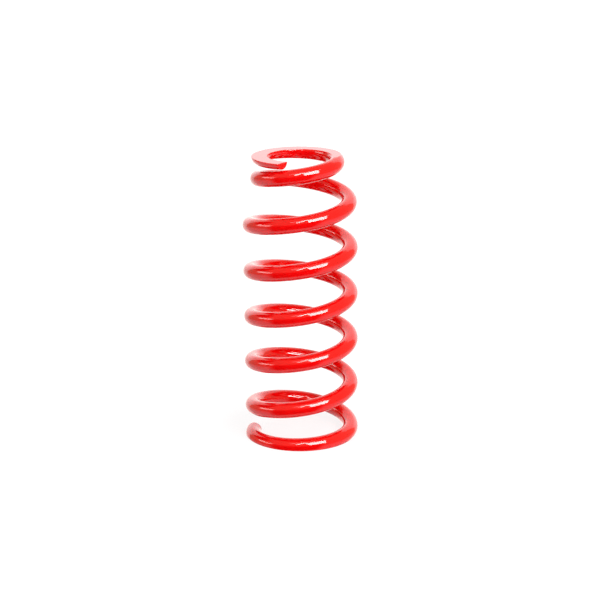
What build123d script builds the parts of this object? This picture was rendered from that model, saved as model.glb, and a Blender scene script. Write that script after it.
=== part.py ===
"""Helical compression spring for a rear shock absorber, coiled from round wire.

One piece of cold-wound wire, right-hand wound. The body is a plain helix. The upper end is
wound down to a smaller diameter, closed onto the coil below and ground flat. The lower end
keeps the body diameter, has a shallower last half turn and is ground flat as well. The upper
wire tip is cut at a slant and the lower one square.

Frame: millimetres, +Z up along the coil axis, origin on the axis in the lower ground face.
The front of the spring is on the -Y side.
"""

import os
from math import cos, pi, radians, sin

from build123d import *

# Wire and body
WIRE_DIAMETER = 12.0
BODY_INSIDE_DIAMETER = 63.5
FREE_LENGTH = 220.0
TOTAL_TURNS = 7.22

# Upper end: wound down to a smaller diameter, closed and ground
UPPER_INSIDE_DIAMETER = 43.5
UPPER_REDUCED_TURNS = 0.72
UPPER_TAPER_TURNS = 1.17
UPPER_TIP_FLARE = 3.0
UPPER_FLARE_TURNS = 0.76
UPPER_CLOSED_PITCH = 7.3
UPPER_CLOSED_TURNS = 0.29
UPPER_OPENING_TURNS = 1.14
UPPER_TIP_THICKNESS = 4.9

# The upper tip is cut at a slant, in degrees, from a little behind its end at the wire's inside
# to most at its outside
UPPER_CUT_SLANT = 15.0
UPPER_CUT_INSET = 0.2

# Lower end: body diameter, shallow last half turn, ground
LOWER_CLOSED_PITCH = 9.6
LOWER_CLOSED_TURNS = 0.43
LOWER_OPENING_TURNS = 0.15
LOWER_TIP_THICKNESS = 5.8

# Where the wire starts: angle from the front towards the left, seen from above
UPPER_TIP_ANGLE = 20.5

# How closely the wire's centre is followed, and the lengths in which its surface is laid
POINTS_PER_TURN = 12
LENGTHS_PER_TURN = 2


def ease(x):
    """Smooth step from 0 to 1, level at both ends."""
    x = min(max(x, 0.0), 1.0)
    return x * x * (3 - 2 * x)


def ease_sum(x):
    """Area under the smooth step from 0 to x."""
    inside = min(max(x, 0.0), 1.0)
    return inside**3 - inside**4 / 2 + max(x - 1, 0.0)


def closed_share(turn, closed_turns, opening_turns):
    """How many of the turns next to a tip count as closed, as far as this turn."""
    return turn - opening_turns * ease_sum((turn - closed_turns) / opening_turns)


def upper_share(turn):
    """Closed turns of the upper end, from its tip as far as this turn."""
    return closed_share(turn, UPPER_CLOSED_TURNS, UPPER_OPENING_TURNS)


def lower_share(turn):
    """Closed turns of the lower end, from the upper tip as far as this turn."""
    whole = closed_share(TOTAL_TURNS, LOWER_CLOSED_TURNS, LOWER_OPENING_TURNS)
    return whole - closed_share(TOTAL_TURNS - turn, LOWER_CLOSED_TURNS, LOWER_OPENING_TURNS)


# The body's pitch follows from the free length and from what the two ends take up
UPPER_TIP_HEIGHT = FREE_LENGTH - UPPER_TIP_THICKNESS + WIRE_DIAMETER / 2
LOWER_TIP_HEIGHT = LOWER_TIP_THICKNESS - WIRE_DIAMETER / 2
UPPER_SHARE = upper_share(TOTAL_TURNS)
LOWER_SHARE = lower_share(TOTAL_TURNS)
BODY_TRAVEL = (
    UPPER_TIP_HEIGHT
    - LOWER_TIP_HEIGHT
    - UPPER_CLOSED_PITCH * UPPER_SHARE
    - LOWER_CLOSED_PITCH * LOWER_SHARE
)
BODY_PITCH = BODY_TRAVEL / (TOTAL_TURNS - UPPER_SHARE - LOWER_SHARE)


def centre_height(turn):
    """Height of the wire's centre, at a number of turns below the upper tip."""
    travel = BODY_PITCH * turn
    travel -= (BODY_PITCH - UPPER_CLOSED_PITCH) * upper_share(turn)
    travel -= (BODY_PITCH - LOWER_CLOSED_PITCH) * lower_share(turn)
    return UPPER_TIP_HEIGHT - travel


def centre_radius(turn):
    """Distance of the wire's centre from the axis, at a number of turns below the upper tip."""
    body = (BODY_INSIDE_DIAMETER + WIRE_DIAMETER) / 2
    upper = (UPPER_INSIDE_DIAMETER + WIRE_DIAMETER) / 2
    taper = ease((turn - UPPER_REDUCED_TURNS) / UPPER_TAPER_TURNS)
    flare = UPPER_TIP_FLARE * ease(1 - turn / UPPER_FLARE_TURNS)
    return upper + (body - upper) * taper + flare


def centre_point(turn):
    """Centre of the wire, at a number of turns below the upper tip."""
    angle = -pi / 2 - radians(UPPER_TIP_ANGLE) - 2 * pi * turn
    radius = centre_radius(turn)
    return Vector(radius * cos(angle), radius * sin(angle), centre_height(turn))


def swept(lengths):
    """The round wire along some lengths of its centre line."""
    path = Wire(lengths)
    section = Plane(origin=path @ 0, z_dir=path % 0) * Circle(WIRE_DIAMETER / 2)
    return sweep(section, path=path, is_frenet=True)


def upper_offcut():
    """The block that the slanted cut takes off the upper tip, a wedge of it in the wire."""
    tip = centre_point(0)
    outward = Vector(tip.X, tip.Y, 0).normalized()
    inner_edge = tip - outward * (WIRE_DIAMETER / 2)
    square = Plane(origin=inner_edge, x_dir=outward, z_dir=(0, 0, 1))
    slanted = square * Rotation(0, 0, -UPPER_CUT_SLANT)
    reach = 2 * WIRE_DIAMETER
    block = Box(2 * reach, reach, reach, align=(Align.CENTER, Align.MIN, Align.CENTER))
    return slanted * Pos(0, -UPPER_CUT_INSET, 0) * block


def coil():
    """The whole wire before its ends are ground, its upper tip cut before it joins the rest."""
    points = round(TOTAL_TURNS * POINTS_PER_TURN)
    centre = Spline(*(centre_point(TOTAL_TURNS * k / points) for k in range(points + 1)))
    count = round(TOTAL_TURNS * LENGTHS_PER_TURN) + 1
    lengths = [centre.trim(k / count, (k + 1) / count) for k in range(count)]
    return swept(lengths[:1]) - upper_offcut() + swept(lengths[1:])


def ground(solid):
    """Both ends ground flat and square to the axis, leaving the free length."""
    across = 2 * (BODY_INSIDE_DIAMETER + 2 * WIRE_DIAMETER)
    kept = Box(across, across, FREE_LENGTH, align=(Align.CENTER, Align.CENTER, Align.MIN))
    return solid & kept


coil_spring = ground(coil())

os.makedirs("parts", exist_ok=True)
export_step(coil_spring, "parts/coil_spring.step")
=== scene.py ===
"""Helical spring of painted round wire, with the studio and the camera that show it.

The wire is one mesh, made by Geometry Nodes from the same sizes and formulas as the solid:
a centre line whose height and radius follow from the turn, a round section that the two
ground planes cut to a flat, a slanted cut at the upper tip, and a small rounding at every
edge. Metres, +Z up, the axis of the coil on the Z axis and the lower ground face at height 0.
"""

import logging
from dataclasses import dataclass, fields
from enum import Enum
from math import cos, pi, radians, sin, tan

import bpy
from mathutils import Matrix, Vector


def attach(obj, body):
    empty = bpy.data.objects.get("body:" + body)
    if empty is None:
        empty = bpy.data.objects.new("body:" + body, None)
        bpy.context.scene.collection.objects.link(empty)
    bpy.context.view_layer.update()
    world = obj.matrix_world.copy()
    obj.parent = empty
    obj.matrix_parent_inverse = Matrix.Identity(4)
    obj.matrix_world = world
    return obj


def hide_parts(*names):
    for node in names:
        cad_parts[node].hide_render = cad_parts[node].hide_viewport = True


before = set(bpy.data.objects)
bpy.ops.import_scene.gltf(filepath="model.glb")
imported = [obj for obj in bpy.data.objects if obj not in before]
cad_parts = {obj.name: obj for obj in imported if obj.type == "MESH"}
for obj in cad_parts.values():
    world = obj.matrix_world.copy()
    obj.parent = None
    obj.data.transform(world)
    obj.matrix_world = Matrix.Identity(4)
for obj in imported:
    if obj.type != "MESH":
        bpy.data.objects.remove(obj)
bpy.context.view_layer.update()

LOG = logging.getLogger("spring")
MM = 0.001
UP = Vector((0.0, 0.0, 1.0))
WHITE = (1.0, 1.0, 1.0, 1.0)
# The middle of the spring, at which the lamps and the camera aim
MIDDLE = Vector((0.0, 0.0, 110.0 * MM))


class TreeKind(Enum):
    """The two kinds of node tree that this script builds."""

    GEOMETRY = "GeometryNodeTree"
    SHADER = "ShaderNodeTree"


class SocketKind(Enum):
    """What may flow in or out of a node tree."""

    NUMBER = "NodeSocketFloat"
    WHOLE = "NodeSocketInt"
    VECTOR = "NodeSocketVector"
    COLOUR = "NodeSocketColor"
    MATERIAL = "NodeSocketMaterial"
    GEOMETRY = "NodeSocketGeometry"


class Surface(Enum):
    """Names under which the wire's mesh keeps what its paint needs to know."""

    WIRE_PLACE = "wire_place"
    EDGE = "edge"
    FLAT = "flat"
    TIP = "tip"


@dataclass(frozen=True)
class Number:
    """A number that flows through a node tree and takes ordinary arithmetic."""

    tree: bpy.types.NodeTree
    socket: bpy.types.NodeSocket

    def math(self, operation: str, *others: "Number | float") -> "Number":
        """Puts a Math node behind this number.

        Args:
            operation: Blender's name for the sum.
            others: The further terms, numbers of this tree or plain floats.

        Returns:
            The result, as another number of the tree.
        """
        node = self.tree.nodes.new("ShaderNodeMath")
        node.operation = operation
        for place, term in enumerate((self, *others)):
            if isinstance(term, Number):
                self.tree.links.new(term.socket, node.inputs[place])
            else:
                node.inputs[place].default_value = term
        return Number(self.tree, node.outputs[0])

    def __add__(self, other: "Number | float") -> "Number":
        """This number and another."""
        return self.math("ADD", other)

    def __sub__(self, other: "Number | float") -> "Number":
        """This number less another."""
        return self.math("SUBTRACT", other)

    def __mul__(self, other: "Number | float") -> "Number":
        """This number times another."""
        return self.math("MULTIPLY", other)

    def __truediv__(self, other: "Number | float") -> "Number":
        """This number over another."""
        return self.math("DIVIDE", other)

    def __rsub__(self, other: float) -> "Number":
        """A plain float less this number."""
        return self.math("MULTIPLY", -1.0) + other

    def clamped(self) -> "Number":
        """This number, kept between 0 and 1."""
        return self.math("MAXIMUM", 0.0).math("MINIMUM", 1.0)

    def choose(self, yes: "Number", no: "Number") -> "Number":
        """One of two numbers: the first where this one is 1, the second where it is 0."""
        return no + (yes - no) * self


def ease(x: Number) -> Number:
    """Smooth step from 0 to 1, level at both ends."""
    x = x.clamped()
    return x * x * (3.0 - x * 2.0)


def ease_sum(x: Number) -> Number:
    """Area under the smooth step from 0 to x."""
    inside = x.clamped()
    cube = inside * inside * inside
    return cube - cube * inside * 0.5 + (x - 1.0).math("MAXIMUM", 0.0)


def blend(low: Number, high: Number, share: Number) -> Number:
    """A number between two others, by a share from 0 to 1."""
    return low + (high - low) * share


class Recipe:
    """A node tree in the making, with named inputs and outputs."""

    def __init__(self, name: str, kind: TreeKind) -> None:
        """Starts an empty tree.

        Args:
            name: The tree's name.
            kind: Whether it makes geometry or part of a material.
        """
        self.tree = bpy.data.node_groups.new(name, kind.value)
        self.entry = self.tree.nodes.new("NodeGroupInput")
        self.exit = self.tree.nodes.new("NodeGroupOutput")

    def takes(self, name: str, kind: SocketKind, default: object = None) -> Number:
        """Adds an input.

        Args:
            name: The input's name.
            kind: What it takes.
            default: Its value where nothing else is set.

        Returns:
            The input as the nodes inside see it.
        """
        item = self.tree.interface.new_socket(name, in_out="INPUT", socket_type=kind.value)
        if default is not None:
            item.default_value = default
        return Number(self.tree, self.entry.outputs[name])

    def gives(self, name: str, kind: SocketKind, value: Number) -> None:
        """Adds an output and feeds it.

        Args:
            name: The output's name.
            kind: What it gives.
            value: The number, vector, colour or geometry that feeds it.
        """
        self.tree.interface.new_socket(name, in_out="OUTPUT", socket_type=kind.value)
        self.tree.links.new(value.socket, self.exit.inputs[name])

    def node(self, kind: str, links: dict[str, object], out: str | int = 0, **settings: object) -> Number:
        """Adds one node.

        Args:
            kind: Blender's name for the kind of node.
            links: What goes into its inputs, by name: numbers of the tree or plain values.
            out: The output that is wanted, by name or place.
            settings: The node's own settings.

        Returns:
            The wanted output.
        """
        node = self.tree.nodes.new(kind)
        for name, value in settings.items():
            setattr(node, name, value)
        for name, value in links.items():
            if isinstance(value, Number):
                self.tree.links.new(value.socket, node.inputs[name])
            else:
                node.inputs[name].default_value = value
        return Number(self.tree, node.outputs[out])

    def combine(self, x: "Number | float", y: "Number | float", z: "Number | float") -> Number:
        """A vector out of three numbers."""
        return self.node("ShaderNodeCombineXYZ", {"X": x, "Y": y, "Z": z})

    def part(self, vector: Number, axis: str) -> Number:
        """One of a vector's three numbers."""
        return self.node("ShaderNodeSeparateXYZ", {"Vector": vector}, axis)

    def vector(self, operation: str, first: Number, second: Number | None = None) -> Number:
        """Puts a Vector Math node behind one or two vectors.

        Args:
            operation: Blender's name for the sum.
            first: The first vector.
            second: The second vector, or the factor of a scaling.

        Returns:
            The resulting vector.
        """
        node = self.tree.nodes.new("ShaderNodeVectorMath")
        node.operation = operation
        self.tree.links.new(first.socket, node.inputs[0])
        if second is not None:
            place = "Scale" if operation == "SCALE" else 1
            self.tree.links.new(second.socket, node.inputs[place])
        return Number(self.tree, node.outputs[0])


@dataclass(frozen=True)
class SectionPoint:
    """A point on the outline of the wire's section, and the way that outline faces there.

    Across counts outwards from the middle of the wire, and height upwards. On a ground flat
    and on its rounded edge, the flat and edge shares are 1.
    """

    across: Number
    height: Number
    across_facing: Number
    height_facing: Number
    flat: Number
    edge: Number


@dataclass(frozen=True)
class Section:
    """One section of the wire: its centre, the directions in which it lies, and a point of it."""

    centre: Number
    outward: Number
    upward: Number
    point: SectionPoint


@dataclass(frozen=True)
class CoilSpring:
    """The spring: driving sizes in metres and turns, and how finely its mesh is laid."""

    wire_diameter: float = 12.0 * MM
    body_inside_diameter: float = 63.5 * MM
    free_length: float = 220.0 * MM
    total_turns: float = 7.22

    upper_inside_diameter: float = 43.5 * MM
    upper_reduced_turns: float = 0.72
    upper_taper_turns: float = 1.17
    upper_tip_flare: float = 3.0 * MM
    upper_flare_turns: float = 0.76
    upper_closed_pitch: float = 7.3 * MM
    upper_closed_turns: float = 0.29
    upper_opening_turns: float = 1.14
    upper_tip_thickness: float = 4.9 * MM

    lower_closed_pitch: float = 9.6 * MM
    lower_closed_turns: float = 0.43
    lower_opening_turns: float = 0.15
    lower_tip_thickness: float = 5.8 * MM

    upper_tip_angle: float = radians(20.5)
    upper_cut_slant: float = radians(15.0)
    upper_cut_inset: float = 0.2 * MM
    edge_rounding: float = 0.45 * MM

    # Points along the wire, and points in half a section: flat, rounded edge and free arc
    stations: int = 1500
    flat_steps: int = 4
    edge_steps: int = 4
    arc_steps: int = 12

    # How the mesh closes up towards a wire tip
    tip_steps: int = 4
    tip_inset: float = 0.07
    # How many stations take up the slant of the upper cut
    slant_stations: int = 30
    # How near the plane an uncut section starts to gather its points at the coming flat
    gather_height: float = 2.5 * MM
    # How strongly the points on a flat crowd towards its edge
    flat_crowding: float = 2.2
    # Points nearer than this are one, where the rounded edges of a tip run out
    merge_reach: float = 0.001 * MM

    def build(self, paint: bpy.types.Material, ground_paint: bpy.types.Material) -> bpy.types.Object:
        """Makes the spring as one closed mesh.

        Args:
            paint: The finish of the round wire.
            ground_paint: The finish of the ground faces and the cut tips.

        Returns:
            The spring's object, at the origin.
        """
        tree = self.tree()
        holder = bpy.data.objects.new("spring_recipe", bpy.data.meshes.new("spring_recipe"))
        bpy.context.scene.collection.objects.link(holder)
        modifier = holder.modifiers.new("Spring", "NODES")
        modifier.node_group = tree
        values = {self.label(size.name): getattr(self, size.name) for size in fields(self)}
        values |= {"Paint": paint, "Ground Paint": ground_paint}
        for item in tree.interface.items_tree:
            if item.in_out == "INPUT" and item.name in values:
                modifier[item.identifier] = values[item.name]
        graph = bpy.context.evaluated_depsgraph_get()
        mesh = bpy.data.meshes.new_from_object(holder.evaluated_get(graph), depsgraph=graph)
        bpy.data.objects.remove(holder)
        spring = bpy.data.objects.new("painted_spring", mesh)
        bpy.context.scene.collection.objects.link(spring)
        return spring

    @staticmethod
    def label(name: str) -> str:
        """A size's name as the tree's input shows it."""
        return name.replace("_", " ").title()

    def tree(self) -> bpy.types.NodeTree:
        """Builds the Geometry Nodes tree that lays the wire.

        Returns:
            The tree, with one named input for each size and for the two finishes.
        """
        recipe = Recipe("Ground Coil Spring", TreeKind.GEOMETRY)
        size: dict[str, Number] = {}
        for item in fields(self):
            kind = SocketKind.WHOLE if item.type in (int, "int") else SocketKind.NUMBER
            size[item.name] = recipe.takes(self.label(item.name), kind, getattr(self, item.name))
        paint = recipe.takes("Paint", SocketKind.MATERIAL)
        ground_paint = recipe.takes("Ground Paint", SocketKind.MATERIAL)

        tube, station, step = self.plain_tube(recipe, size)
        turn, inset, shrink, cut = self.stations_by_turn(size, station)
        square = self.section(recipe, size, turn, step)
        turn = turn + self.slant(size, station, square.point.across)
        section = self.section(recipe, size, turn, step)
        point = section.point

        across = (point.across - inset * point.across_facing) * shrink
        middle = self.section_middle(recipe, size, section.centre, section.upward)
        height = blend(middle, point.height - inset * point.height_facing, shrink)
        place = recipe.vector("ADD", section.centre, recipe.vector("SCALE", section.outward, across))
        place = recipe.vector("ADD", place, recipe.vector("SCALE", section.upward, height))

        # Where each point lies on the wire as if it were straight, for patterns that follow it
        along = turn * (size["body_inside_diameter"] + size["wire_diameter"]) * pi
        wire_place = recipe.combine(along, point.across, point.height)
        tip = (inset / size["edge_rounding"]).clamped()
        flat = point.flat.math("MAXIMUM", (1.0 - shrink).math("GREATER_THAN", 0.0))
        shape = recipe.node("GeometryNodeSetPosition", {"Geometry": tube, "Position": place})
        for name, kind, value in (
            (Surface.WIRE_PLACE, "FLOAT_VECTOR", wire_place),
            (Surface.EDGE, "FLOAT", point.edge.math("MAXIMUM", tip)),
            (Surface.FLAT, "FLOAT", flat),
            (Surface.TIP, "FLOAT", cut),
        ):
            shape = recipe.node(
                "GeometryNodeStoreNamedAttribute",
                {"Geometry": shape, "Name": name.value, "Value": value},
                data_type=kind,
                domain="POINT",
            )
        shape = recipe.node(
            "GeometryNodeMergeByDistance", {"Geometry": shape, "Distance": size["merge_reach"]}
        )
        shape = recipe.node("GeometryNodeSetShadeSmooth", {"Geometry": shape, "Shade Smooth": True})
        shape = recipe.node("GeometryNodeRealizeInstances", {"Geometry": shape})
        shape = recipe.node("GeometryNodeSetMaterial", {"Geometry": shape, "Material": paint})
        flat_mask = recipe.node(
            "GeometryNodeInputNamedAttribute", {"Name": Surface.FLAT.value}, data_type="FLOAT"
        )
        whole_face = recipe.node(
            "GeometryNodeFieldOnDomain", {"Value": flat_mask}, data_type="FLOAT", domain="FACE"
        ).math("GREATER_THAN", 0.99)
        shape = recipe.node(
            "GeometryNodeSetMaterial",
            {"Geometry": shape, "Selection": whole_face, "Material": ground_paint},
        )
        recipe.gives("Geometry", SocketKind.GEOMETRY, shape)
        return recipe.tree

    def plain_tube(self, recipe: Recipe, size: dict[str, Number]) -> tuple[Number, Number, Number]:
        """Lays a straight closed tube whose points are then moved into place.

        Args:
            recipe: The tree in the making.
            size: The tree's sizes.

        Returns:
            The tube, and for each point the number of its station and of its step round.
        """
        half = (size["flat_steps"] + size["edge_steps"]) * 2.0 + size["arc_steps"]
        around = half * 2.0
        line = recipe.node("GeometryNodeCurvePrimitiveLine", {"End": UP})
        line = recipe.node("GeometryNodeResampleCurve", {"Curve": line, "Count": size["stations"]})
        # Every point is moved into place later, so the ring's own radius doesn't matter
        ring = recipe.node("GeometryNodeCurvePrimitiveCircle", {"Resolution": around, "Radius": 0.1})
        tube = recipe.node(
            "GeometryNodeCurveToMesh", {"Curve": line, "Profile Curve": ring, "Fill Caps": True}
        )
        index = recipe.node("GeometryNodeInputIndex", {})
        station = ((index + 0.5) / around).math("FLOOR")
        step = index - station * around
        return tube, station, step

    @staticmethod
    def stations_by_turn(
        size: dict[str, Number], station: Number
    ) -> tuple[Number, Number, Number, Number]:
        """Spreads the stations along the wire and rounds its two tips.

        Args:
            size: The tree's sizes.
            station: The number of each point's station.

        Returns:
            The turn of each station, how far its outline lies inside the plain one, the share
            to which it is drawn together, and 1 where it lies on a cut tip.
        """
        last = size["stations"] - 1.0
        first_regular = size["tip_steps"] + 1.0
        turns, insets, shrinks, cuts = [], [], [], []
        for count, radius in (
            (station, CoilSpring.upper_tip_radius(size)),
            (last - station, CoilSpring.body_radius(size)),
        ):
            swing = ((count - 1.0) / size["tip_steps"]).clamped() * (pi / 2)
            from_tip = size["edge_rounding"] * (1.0 - swing.math("COSINE"))
            turns.append(from_tip / (radius * (2 * pi)))
            insets.append(size["edge_rounding"] * (1.0 - swing.math("SINE")))
            shrinks.append((1.0 - count).clamped() * size["tip_inset"])
            cuts.append((2.0 - count).clamped())
        share = ((station - first_regular) / (last - first_regular * 2.0)).clamped()
        turn = blend(turns[0], size["total_turns"] - turns[1], share)
        shrink = 1.0 - (shrinks[0] + shrinks[1])
        return turn, insets[0] + insets[1], shrink, cuts[0] + cuts[1]

    @staticmethod
    def slant(size: dict[str, Number], station: Number, across: Number) -> Number:
        """Works out how far the slanted upper cut moves a point along the wire.

        Args:
            size: The tree's sizes.
            station: The number of the point's station.
            across: How far outwards the point lies from the middle of the wire.

        Returns:
            The move in turns: all of it at the tip, and none past the slanted stations.
        """
        from_tip = station - size["tip_steps"] - 1.0
        share = (1.0 - from_tip / size["slant_stations"]).clamped()
        centre_radius = CoilSpring.upper_tip_radius(size)
        inner_radius = centre_radius - size["wire_diameter"] * 0.5
        passing = inner_radius * size["upper_cut_slant"].math("SINE") - size["upper_cut_inset"]
        angle = size["upper_cut_slant"] - (passing / (centre_radius + across)).math("ARCSINE")
        return angle * share / (2 * pi)

    @staticmethod
    def body_radius(size: dict[str, Number]) -> Number:
        """Radius of the wire's centre line in the body."""
        return (size["body_inside_diameter"] + size["wire_diameter"]) * 0.5

    @staticmethod
    def upper_radius(size: dict[str, Number]) -> Number:
        """Radius of the wire's centre line in the reduced upper end."""
        return (size["upper_inside_diameter"] + size["wire_diameter"]) * 0.5

    @staticmethod
    def upper_tip_radius(size: dict[str, Number]) -> Number:
        """Radius of the wire's centre line at the upper tip."""
        return CoilSpring.upper_radius(size) + size["upper_tip_flare"]

    @staticmethod
    def closed_share(turn: Number, closed_turns: Number, opening_turns: Number) -> Number:
        """How many of the turns next to a tip count as closed, as far as this turn."""
        return turn - opening_turns * ease_sum((turn - closed_turns) / opening_turns)

    @staticmethod
    def upper_share(size: dict[str, Number], turn: Number) -> Number:
        """Closed turns of the upper end, from its tip as far as this turn."""
        return CoilSpring.closed_share(turn, size["upper_closed_turns"], size["upper_opening_turns"])

    @staticmethod
    def lower_share(size: dict[str, Number], turn: Number) -> Number:
        """Closed turns of the lower end, from the upper tip as far as this turn."""
        ends = (size["lower_closed_turns"], size["lower_opening_turns"])
        whole = CoilSpring.closed_share(size["total_turns"], *ends)
        return whole - CoilSpring.closed_share(size["total_turns"] - turn, *ends)

    @staticmethod
    def centre_height(size: dict[str, Number], turn: Number) -> Number:
        """Works out the height of the wire's centre.

        Args:
            size: The tree's sizes.
            turn: Turns below the upper tip.

        Returns:
            The height above the lower ground face.
        """
        wire_radius = size["wire_diameter"] * 0.5
        upper_tip = size["free_length"] - size["upper_tip_thickness"] + wire_radius
        lower_tip = size["lower_tip_thickness"] - wire_radius
        total = size["total_turns"]
        upper_closed = CoilSpring.upper_share(size, total)
        lower_closed = CoilSpring.lower_share(size, total)
        body_travel = upper_tip - lower_tip
        body_travel -= size["upper_closed_pitch"] * upper_closed
        body_travel -= size["lower_closed_pitch"] * lower_closed
        body_pitch = body_travel / (total - upper_closed - lower_closed)
        travel = body_pitch * turn
        travel -= (body_pitch - size["upper_closed_pitch"]) * CoilSpring.upper_share(size, turn)
        travel -= (body_pitch - size["lower_closed_pitch"]) * CoilSpring.lower_share(size, turn)
        return upper_tip - travel

    @staticmethod
    def centre_radius(size: dict[str, Number], turn: Number) -> Number:
        """Distance of the wire's centre from the axis, at a number of turns below the tip."""
        body = CoilSpring.body_radius(size)
        upper = CoilSpring.upper_radius(size)
        taper = ease((turn - size["upper_reduced_turns"]) / size["upper_taper_turns"])
        flare = size["upper_tip_flare"] * ease(1.0 - turn / size["upper_flare_turns"])
        return blend(upper, body, taper) + flare

    @staticmethod
    def centre(recipe: Recipe, size: dict[str, Number], turn: Number) -> Number:
        """Places the wire's centre.

        Args:
            recipe: The tree in the making.
            size: The tree's sizes.
            turn: Turns below the upper tip.

        Returns:
            The centre as a vector.
        """
        angle = (turn * (2 * pi) + size["upper_tip_angle"] + pi / 2) * -1.0
        radius = CoilSpring.centre_radius(size, turn)
        return recipe.combine(
            radius * angle.math("COSINE"),
            radius * angle.math("SINE"),
            CoilSpring.centre_height(size, turn),
        )

    @staticmethod
    def section_axes(recipe: Recipe, size: dict[str, Number], turn: Number) -> tuple[Number, Number]:
        """Finds the two directions in which a section of the wire lies.

        Args:
            recipe: The tree in the making.
            size: The tree's sizes.
            turn: Turns below the upper tip.

        Returns:
            The level direction away from the axis, and the one square to it and to the wire.
        """
        reach = 0.01
        ahead = CoilSpring.centre(recipe, size, turn + reach)
        behind = CoilSpring.centre(recipe, size, turn - reach)
        along = recipe.vector("NORMALIZE", recipe.vector("SUBTRACT", ahead, behind))
        up = recipe.combine(0.0, 0.0, 1.0)
        outward = recipe.vector("NORMALIZE", recipe.vector("CROSS_PRODUCT", up, along))
        return outward, recipe.vector("CROSS_PRODUCT", along, outward)

    @staticmethod
    def section(recipe: Recipe, size: dict[str, Number], turn: Number, step: Number) -> Section:
        """Lays a section of the wire.

        Args:
            recipe: The tree in the making.
            size: The tree's sizes.
            turn: Turns below the upper tip.
            step: The number of the point's step round the section.

        Returns:
            The section.
        """
        centre = CoilSpring.centre(recipe, size, turn)
        outward, upward = CoilSpring.section_axes(recipe, size, turn)
        point = CoilSpring.section_point(recipe, size, step, centre, upward)
        return Section(centre, outward, upward, point)

    @staticmethod
    def room_above(recipe: Recipe, size: dict[str, Number], centre: Number, upward: Number) -> Number:
        """Distance in a section from the wire's centre up to the upper ground plane."""
        return (size["free_length"] - recipe.part(centre, "Z")) / recipe.part(upward, "Z")

    @staticmethod
    def room_below(recipe: Recipe, centre: Number, upward: Number) -> Number:
        """Distance in a section from the wire's centre down to the lower ground plane."""
        return recipe.part(centre, "Z") / recipe.part(upward, "Z")

    @staticmethod
    def section_middle(recipe: Recipe, size: dict[str, Number], centre: Number, upward: Number) -> Number:
        """Height of the middle of what the ground planes leave of a section."""
        radius = size["wire_diameter"] * 0.5
        above = CoilSpring.room_above(recipe, size, centre, upward).math("MINIMUM", radius)
        below = CoilSpring.room_below(recipe, centre, upward).math("MINIMUM", radius)
        return (above - below) * 0.5

    @staticmethod
    def contact_angle(size: dict[str, Number], room: Number) -> Number:
        """Angle from the ground plane's side of a section to where its rounded edge ends."""
        radius = size["wire_diameter"] * 0.5
        rounding = size["edge_rounding"]
        level = room.math("MINIMUM", radius) - rounding
        reach = radius - rounding
        half_flat = (reach * reach - level * level).math("MAXIMUM", 0.0).math("SQRT")
        return half_flat.math("ARCTAN2", level)

    @staticmethod
    def section_point(
        recipe: Recipe, size: dict[str, Number], step: Number, centre: Number, upward: Number
    ) -> SectionPoint:
        """Places a point on the outline of its section.

        The steps run from the top down one side and back up the other. On each side they
        are a flat, its rounded edge, a free arc, and the same in reverse at the bottom. Where
        no plane cuts the wire, all of them lie on the circle.

        Args:
            recipe: The tree in the making.
            size: The tree's sizes.
            step: The number of the point's step round the section.
            centre: The wire's centre.
            upward: The section's upward direction.

        Returns:
            The point.
        """
        radius = size["wire_diameter"] * 0.5
        rounding = size["edge_rounding"]
        end_steps = size["flat_steps"] + size["edge_steps"]
        half = end_steps * 2.0 + size["arc_steps"]
        second_side = step.math("GREATER_THAN", half + 0.5)
        side = second_side * 2.0 - 1.0
        down = second_side.choose(half * 2.0 - step, step)
        at_bottom = down.math("GREATER_THAN", half * 0.5)
        from_end = at_bottom.choose(half - down, down)

        above = CoilSpring.room_above(recipe, size, centre, upward)
        below = CoilSpring.room_below(recipe, centre, upward)
        room = at_bottom.choose(below, above)
        is_cut = room.math("LESS_THAN", radius)

        # The free arc, between what the two ends take up
        even = end_steps / half * pi
        spans = []
        for space in (above, below):
            gathered = ((space - radius) / size["gather_height"]).clamped().math("SQRT") * even
            cut = space.math("LESS_THAN", radius)
            spans.append(cut.choose(CoilSpring.contact_angle(size, space), gathered))
        arc_share = ((down - end_steps) / size["arc_steps"]).clamped()
        arc_angle = blend(spans[0], pi - spans[1], arc_share)
        span = at_bottom.choose(spans[1], spans[0])
        round_angle = at_bottom.choose(pi - arc_angle, arc_angle)
        on_end = from_end.math("LESS_THAN", end_steps + 0.5)
        round_angle = on_end.choose(span * (from_end / end_steps), round_angle)

        # The flat and its rounded edge
        contact = CoilSpring.contact_angle(size, room)
        edge_angle = contact * ((from_end - size["flat_steps"]) / size["edge_steps"]).clamped()
        outermost = (radius - rounding) * contact.math("SINE")
        flat_share = (from_end / size["flat_steps"]).clamped()
        crowded = 1.0 - (1.0 - flat_share).math("POWER", size["flat_crowding"])
        flat_across = outermost * crowded + rounding * edge_angle.math("SINE")
        flat_height = room - rounding * (1.0 - edge_angle.math("COSINE"))

        on_cut = is_cut * on_end
        facing = on_cut.choose(edge_angle, round_angle)
        across = on_cut.choose(flat_across, radius * round_angle.math("SINE"))
        height = on_cut.choose(flat_height, radius * round_angle.math("COSINE"))
        turned = 1.0 - at_bottom * 2.0
        on_flat = from_end.math("LESS_THAN", size["flat_steps"] + 0.5)
        near_flat = from_end.math("GREATER_THAN", size["flat_steps"] - 0.5)
        return SectionPoint(
            across * side,
            height * turned,
            facing.math("SINE") * side,
            facing.math("COSINE") * turned,
            is_cut * on_flat,
            on_cut * near_flat,
        )


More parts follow.
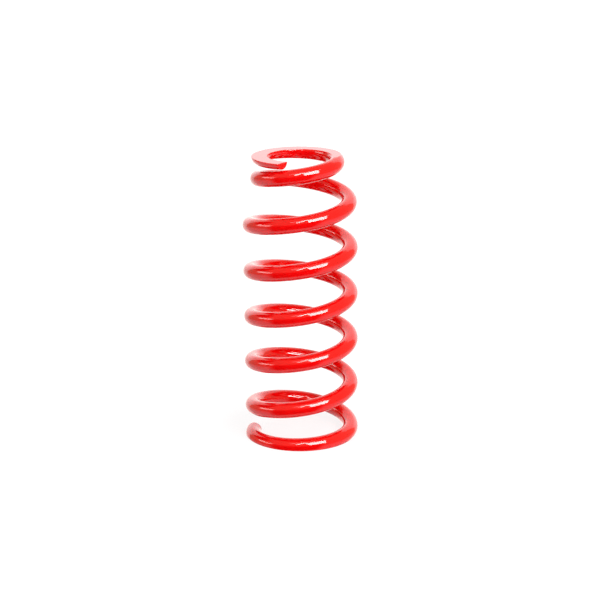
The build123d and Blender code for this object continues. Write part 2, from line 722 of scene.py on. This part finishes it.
class PaintGroups:
    """The shader groups that the finishes share, each built once."""

    def __init__(self) -> None:
        """Builds the groups."""
        self.peel = self.orange_peel()
        self.film = self.paint_film()
        self.marks = self.grinding_marks()

    @staticmethod
    def noise(recipe: Recipe, place: Number, size: Number, detail: float) -> Number:
        """Noise round 0.5 whose lumps have a given size in metres.

        Args:
            recipe: The group in the making.
            place: Where the noise is read.
            size: The size of its lumps.
            detail: How many finer layers it has.

        Returns:
            The noise.
        """
        scale = size.math("POWER", -1.0)
        links = {"Vector": place, "Scale": scale, "Detail": detail}
        return recipe.node("ShaderNodeTexNoise", links, "Fac", noise_dimensions="3D")

    def orange_peel(self) -> bpy.types.NodeTree:
        """Builds the slight unevenness of a sprayed and baked film.

        Returns:
            A group that turns a place, two sizes and two depths into a height in metres.
        """
        recipe = Recipe("Orange Peel", TreeKind.SHADER)
        place = recipe.takes("Place", SocketKind.VECTOR)
        lump_size = recipe.takes("Lump Size", SocketKind.NUMBER, 2.4 * MM)
        wave_size = recipe.takes("Wave Size", SocketKind.NUMBER, 14.0 * MM)
        lump_depth = recipe.takes("Lump Depth", SocketKind.NUMBER, 0.002 * MM)
        wave_depth = recipe.takes("Wave Depth", SocketKind.NUMBER, 0.012 * MM)
        lumps = self.noise(recipe, place, lump_size, 1.0) * lump_depth
        waves = self.noise(recipe, place, wave_size, 0.0) * wave_depth
        recipe.gives("Height", SocketKind.NUMBER, lumps + waves)
        return recipe.tree

    def paint_film(self) -> bpy.types.NodeTree:
        """Builds the colour of the film, deeper where it is thick and paler at edges.

        Returns:
            A group that turns a place, two colours and three shares into a colour.
        """
        recipe = Recipe("Paint Film", TreeKind.SHADER)
        place = recipe.takes("Place", SocketKind.VECTOR)
        full = recipe.takes("Full Colour", SocketKind.COLOUR)
        thin = recipe.takes("Thin Colour", SocketKind.COLOUR)
        edge = recipe.takes("Edge", SocketKind.NUMBER, 0.0)
        cloud_size = recipe.takes("Cloud Size", SocketKind.NUMBER, 30.0 * MM)
        cloud_share = recipe.takes("Cloud Share", SocketKind.NUMBER, 0.5)
        edge_share = recipe.takes("Edge Share", SocketKind.NUMBER, 0.5)
        clouds = self.noise(recipe, place, cloud_size, 2.0) * cloud_share
        thinness = (clouds + edge * edge_share).clamped()
        mix = recipe.node("ShaderNodeMix", {"Factor": thinness}, data_type="RGBA").socket.node
        ends = [socket for socket in mix.inputs if socket.type == "RGBA"]
        for colour, end in zip((full, thin), ends):
            recipe.tree.links.new(colour.socket, end)
        result = next(socket for socket in mix.outputs if socket.type == "RGBA")
        recipe.gives("Colour", SocketKind.COLOUR, Number(recipe.tree, result))
        return recipe.tree

    def grinding_marks(self) -> bpy.types.NodeTree:
        """Builds the faint straight marks of a grinding wheel, as the paint leaves them.

        Returns:
            A group that turns a place, two sizes and a depth into a height in metres.
        """
        recipe = Recipe("Grinding Marks", TreeKind.SHADER)
        place = recipe.takes("Place", SocketKind.VECTOR)
        spacing = recipe.takes("Spacing", SocketKind.NUMBER, 0.7 * MM)
        length = recipe.takes("Length", SocketKind.NUMBER, 25.0 * MM)
        depth = recipe.takes("Depth", SocketKind.NUMBER, 0.006 * MM)
        stretched = recipe.combine(
            recipe.part(place, "X") / spacing, recipe.part(place, "Y") / length, recipe.part(place, "Z")
        )
        links = {"Vector": stretched, "Scale": 1.0, "Detail": 2.0}
        lines = recipe.node("ShaderNodeTexNoise", links, "Fac", noise_dimensions="3D")
        recipe.gives("Height", SocketKind.NUMBER, lines * depth)
        return recipe.tree


@dataclass(frozen=True)
class GlossPaint:
    """Bright red baked paint, glossy on the wire and duller where it covers a cut tip."""

    name: str
    full_colour: tuple[float, float, float, float] = (0.85, 0.0010, 0.0020, 1.0)
    thin_colour: tuple[float, float, float, float] = (0.91, 0.0050, 0.0030, 1.0)
    gloss: float = 0.06
    cut_tip_gloss: float = 0.30
    marks_depth: float = 0.0

    def material(self, groups: PaintGroups) -> bpy.types.Material:
        """Makes the finish.

        Args:
            groups: The shader groups that the finishes share.

        Returns:
            The material.
        """
        material = bpy.data.materials.new(self.name)
        material.use_nodes = True
        nodes, links = material.node_tree.nodes, material.node_tree.links
        shader = nodes["Principled BSDF"]

        place = nodes.new("ShaderNodeAttribute")
        place.attribute_name = Surface.WIRE_PLACE.value
        edge = nodes.new("ShaderNodeAttribute")
        edge.attribute_name = Surface.EDGE.value
        tip = nodes.new("ShaderNodeAttribute")
        tip.attribute_name = Surface.TIP.value
        on_tip = Number(material.node_tree, tip.outputs["Fac"])
        roughness = on_tip * (self.cut_tip_gloss - self.gloss) + self.gloss
        links.new(roughness.socket, shader.inputs["Roughness"])

        film = nodes.new("ShaderNodeGroup")
        film.node_tree = groups.film
        film.inputs["Full Colour"].default_value = self.full_colour
        film.inputs["Thin Colour"].default_value = self.thin_colour
        links.new(place.outputs["Vector"], film.inputs["Place"])
        links.new(edge.outputs["Fac"], film.inputs["Edge"])
        links.new(film.outputs["Colour"], shader.inputs["Base Color"])

        peel = nodes.new("ShaderNodeGroup")
        peel.node_tree = groups.peel
        links.new(place.outputs["Vector"], peel.inputs["Place"])
        height = Number(material.node_tree, peel.outputs["Height"])
        if self.marks_depth:
            spot = nodes.new("ShaderNodeTexCoord")
            marks = nodes.new("ShaderNodeGroup")
            marks.node_tree = groups.marks
            marks.inputs["Depth"].default_value = self.marks_depth
            links.new(spot.outputs["Object"], marks.inputs["Place"])
            height = height + Number(material.node_tree, marks.outputs["Height"])
        bump = nodes.new("ShaderNodeBump")
        bump.inputs["Distance"].default_value = 1.0
        links.new(height.socket, bump.inputs["Height"])
        links.new(bump.outputs["Normal"], shader.inputs["Normal"])
        return material


class LampUse(Enum):
    """What a lamp is there for."""

    LIGHT = "lights the object and shows in its gloss"
    GLINT = "shows in its gloss alone"


@dataclass(frozen=True)
class Softbox:
    """A rectangular studio lamp, aimed at the middle of the spring.

    Azimuth counts from the front towards the right, seen from above. Azimuth, elevation,
    width, height and tilt are angles in degrees, as the spring sees the lamp.
    """

    name: str
    azimuth: float
    elevation: float
    width: float
    height: float
    radiance: float
    use: LampUse = LampUse.LIGHT
    tilt: float = 0.0
    distance: float = 2.5

    def build(self) -> None:
        """Sets the lamp up."""
        lamp = bpy.data.lights.new(self.name, "AREA")
        lamp.shape = "RECTANGLE"
        lamp.size = 2.0 * self.distance * tan(radians(self.width / 2))
        lamp.size_y = 2.0 * self.distance * tan(radians(self.height / 2))
        lamp.energy = self.radiance * lamp.size * lamp.size_y * pi
        turn, rise = radians(self.azimuth), radians(self.elevation)
        away = Vector((sin(turn) * cos(rise), -cos(turn) * cos(rise), sin(rise)))
        turned = away.to_track_quat("Z", "Y").to_matrix() @ Matrix.Rotation(radians(self.tilt), 3, "Z")
        holder = bpy.data.objects.new(self.name, lamp)
        holder.location = MIDDLE + away * self.distance
        holder.rotation_euler = turned.to_euler()
        holder.visible_diffuse = self.use is LampUse.LIGHT
        bpy.context.scene.collection.objects.link(holder)


@dataclass(frozen=True)
class Patch:
    """A part of the surround as the gloss shows it.

    Its middle, half its width and height, and the width of its soft rim are in degrees.
    """

    azimuth: float
    elevation: float
    half_width: float
    half_height: float
    rim: float
    colour: tuple[float, float, float]


@dataclass(frozen=True)
class Surround:
    """What lies round the spring: white to the camera, an even light, uneven in the gloss.

    The gloss shows a warm room, and on it each patch in turn: a white sweep below, a white
    backdrop behind with a brighter band, the dark sides of the studio in front and at the
    left, and a long soft lamp at the left.
    """

    light: float = 0.59
    room: tuple[float, float, float] = (0.80, 0.57, 0.42)
    patches: tuple[Patch, ...] = (
        Patch(0.0, -90.0, 180.0, 78.0, 16.0, (1.10, 1.10, 1.10)),
        Patch(180.0, 5.0, 47.0, 40.0, 5.0, (1.50, 1.48, 1.42)),
        Patch(180.0, 11.0, 44.0, 8.0, 8.0, (1.85, 1.85, 1.85)),
        Patch(-12.0, -19.0, 54.0, 35.0, 24.0, (0.01, 0.01, 0.01)),
        Patch(-112.0, 37.0, 19.0, 13.0, 8.0, (0.02, 0.02, 0.02)),
        Patch(-84.0, 17.0, 18.0, 5.0, 9.0, (6.50, 6.50, 6.20)),
    )

    def build(self) -> None:
        """Makes the world's shader."""
        world = bpy.data.worlds.new("white_surround")
        world.use_nodes = True
        tree = world.node_tree
        path = tree.nodes.new("ShaderNodeLightPath")
        seen = Number(tree, path.outputs["Is Camera Ray"])
        glossy = Number(tree, path.outputs["Is Glossy Ray"])
        colour = tree.nodes.new("ShaderNodeCombineXYZ")
        for socket, mirrored in zip(colour.inputs, self.mirrored(tree)):
            unseen = (mirrored - self.light) * glossy + self.light
            tree.links.new(((1.0 - unseen) * seen + unseen).socket, socket)
        tree.links.new(colour.outputs["Vector"], tree.nodes["Background"].inputs["Color"])
        bpy.context.scene.world = world

    def mirrored(self, tree: bpy.types.NodeTree) -> list[Number]:
        """Works out the surround's colour in the gloss.

        Args:
            tree: The world's node tree.

        Returns:
            The red, green and blue in the direction that the gloss reflects.
        """
        direction = tree.nodes.new("ShaderNodeTexCoord").outputs["Generated"]
        split = tree.nodes.new("ShaderNodeSeparateXYZ")
        tree.links.new(direction, split.inputs["Vector"])
        x, y, z = (Number(tree, split.outputs[axis]) for axis in "XYZ")
        elevation = z.math("ARCSINE")
        colour = [z * 0.0 + part for part in self.room]
        for patch in self.patches:
            turn = radians(patch.azimuth)
            towards = x * sin(turn) - y * cos(turn)
            sideways = x * cos(turn) + y * sin(turn)
            share = self.within(sideways.math("ARCTAN2", towards), patch.half_width, patch.rim)
            rise = elevation - radians(patch.elevation)
            share = share * self.within(rise, patch.half_height, patch.rim)
            colour = [(goal - part) * share + part for goal, part in zip(patch.colour, colour)]
        return colour

    @staticmethod
    def within(angle: Number, half: float, rim: float) -> Number:
        """How far an angle is within a patch: 1 inside it, 0 outside, smooth over its rim."""
        return ease((radians(half + rim / 2) - angle.math("ABSOLUTE")) / radians(rim))


@dataclass(frozen=True)
class Floor:
    """The white floor, which lights the spring from below and keeps its shadow.

    To the camera, the shadow is a light one, and past it the floor is plain white. A camera
    below the floor sees through it.
    """

    half: float = 6.0
    drop: float = 0.05 * MM
    albedo: float = 0.70
    seen_albedo: float = 0.20
    roughness: float = 0.9
    near_glow: float = 0.85
    far_glow: float = 1.0
    fade: tuple[float, float] = (0.05, 0.16)

    def build(self) -> bpy.types.Object:
        """Makes the floor, a flat sheet a hair below the lower ground face.

        Returns:
            The floor's object.
        """
        mesh = bpy.data.meshes.new("floor")
        half, height = self.half, -self.drop
        corners = [(x * half, y * half, height) for x, y in ((-1, -1), (1, -1), (1, 1), (-1, 1))]
        mesh.from_pydata(corners, [], [(0, 1, 2, 3)])
        mesh.materials.append(self.material())
        floor = bpy.data.objects.new("floor", mesh)
        floor.visible_glossy = False
        bpy.context.scene.collection.objects.link(floor)
        return floor

    def material(self) -> bpy.types.Material:
        """Makes the floor's finish.

        Returns:
            The material.
        """
        material = bpy.data.materials.new("white_floor")
        material.use_nodes = True
        tree = material.node_tree
        shader = tree.nodes["Principled BSDF"]
        shader.inputs["Roughness"].default_value = self.roughness
        shader.inputs["Specular IOR Level"].default_value = 0.0
        shader.inputs["Emission Color"].default_value = WHITE
        spot = tree.nodes.new("ShaderNodeTexCoord").outputs["Object"]
        reach = tree.nodes.new("ShaderNodeVectorMath")
        reach.operation = "LENGTH"
        tree.links.new(spot, reach.inputs[0])
        near, far = self.fade
        share = ease((Number(tree, reach.outputs["Value"]) - near) / (far - near))
        seen = Number(tree, tree.nodes.new("ShaderNodeLightPath").outputs["Is Camera Ray"])
        albedo = seen * (self.seen_albedo - self.albedo) + self.albedo
        tree.links.new(albedo.socket, shader.inputs["Base Color"])
        from_below = Number(tree, tree.nodes.new("ShaderNodeNewGeometry").outputs["Backfacing"]) * seen
        tree.links.new((1.0 - from_below).socket, shader.inputs["Alpha"])
        glow = (share * (self.far_glow - self.near_glow) + self.near_glow) * seen
        tree.links.new(glow.socket, shader.inputs["Emission Strength"])
        return material


@dataclass(frozen=True)
class Studio:
    """The floor, the surround and the lamps."""

    surround: Surround = Surround()
    floor: Floor = Floor()
    softboxes: tuple[Softbox, ...] = (
        Softbox("key_softbox", 31.0, 36.0, 35.0, 33.0, 6.2),
        Softbox("key_glint", 31.0, 36.0, 35.0, 33.0, 14.0, LampUse.GLINT, distance=2.3),
        Softbox("high_glint", 14.0, 59.0, 60.0, 10.0, 3.0, LampUse.GLINT, distance=2.2),
        Softbox("strip_glint", -7.0, 47.0, 7.0, 24.0, 18.0, LampUse.GLINT, -30.0, 2.4),
    )

    def build(self) -> bpy.types.Object:
        """Sets up the floor, the surround and the lamps.

        Returns:
            The floor.
        """
        bpy.context.scene.view_settings.view_transform = "Standard"
        self.surround.build()
        for softbox in self.softboxes:
            softbox.build()
        return self.floor.build()


@dataclass(frozen=True)
class PhotoCamera:
    """The camera of the photograph, as its outline of the spring gives it."""

    lens: float = 106.96
    sensor: float = 36.0
    distance: float = 1.365
    elevation: float = radians(16.01)
    roll: float = radians(-0.494)
    shift_right: float = 0.512 * MM
    shift_up: float = 2.653 * MM

    def build(self) -> bpy.types.Object:
        """Sets up the camera.

        Returns:
            The camera's object.
        """
        ahead = Vector((0.0, cos(self.elevation), -sin(self.elevation)))
        level_up = Vector((0.0, sin(self.elevation), cos(self.elevation)))
        level_right = Vector((1.0, 0.0, 0.0))
        right = cos(self.roll) * level_right + sin(self.roll) * level_up
        up = -sin(self.roll) * level_right + cos(self.roll) * level_up
        data = bpy.data.cameras.new("camera")
        data.lens = self.lens
        data.sensor_width = self.sensor
        camera = bpy.data.objects.new("camera", data)
        place = MIDDLE - ahead * self.distance
        place -= right * self.shift_right + up * self.shift_up
        turned = Matrix((right, up, -ahead)).transposed().to_4x4()
        camera.matrix_world = Matrix.Translation(place) @ turned
        bpy.context.scene.collection.objects.link(camera)
        bpy.context.scene.camera = camera
        return camera


def report(piece: bpy.types.Object) -> None:
    """Logs a finished piece and its size.

    Args:
        piece: The piece's object.
    """
    triangles = sum(len(face.vertices) - 2 for face in piece.data.polygons)
    size = ", ".join(f"{length / MM:.1f}" for length in piece.dimensions)
    LOG.info("%s: %d triangles, %s mm", piece.name, triangles, size)


def main() -> None:
    """Builds the spring, the studio and the camera."""
    logging.basicConfig(level=logging.INFO, format="%(name)s: %(message)s")
    PhotoCamera().build()
    groups = PaintGroups()
    paint = GlossPaint("red_gloss_paint").material(groups)
    ground_paint = GlossPaint("red_paint_on_ground_faces", marks_depth=0.004 * MM).material(groups)
    spring = CoilSpring().build(paint, ground_paint)
    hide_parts("coil_spring")
    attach(spring, "root")
    report(spring)
    Studio().build()


if __name__ == "__main__":
    main()
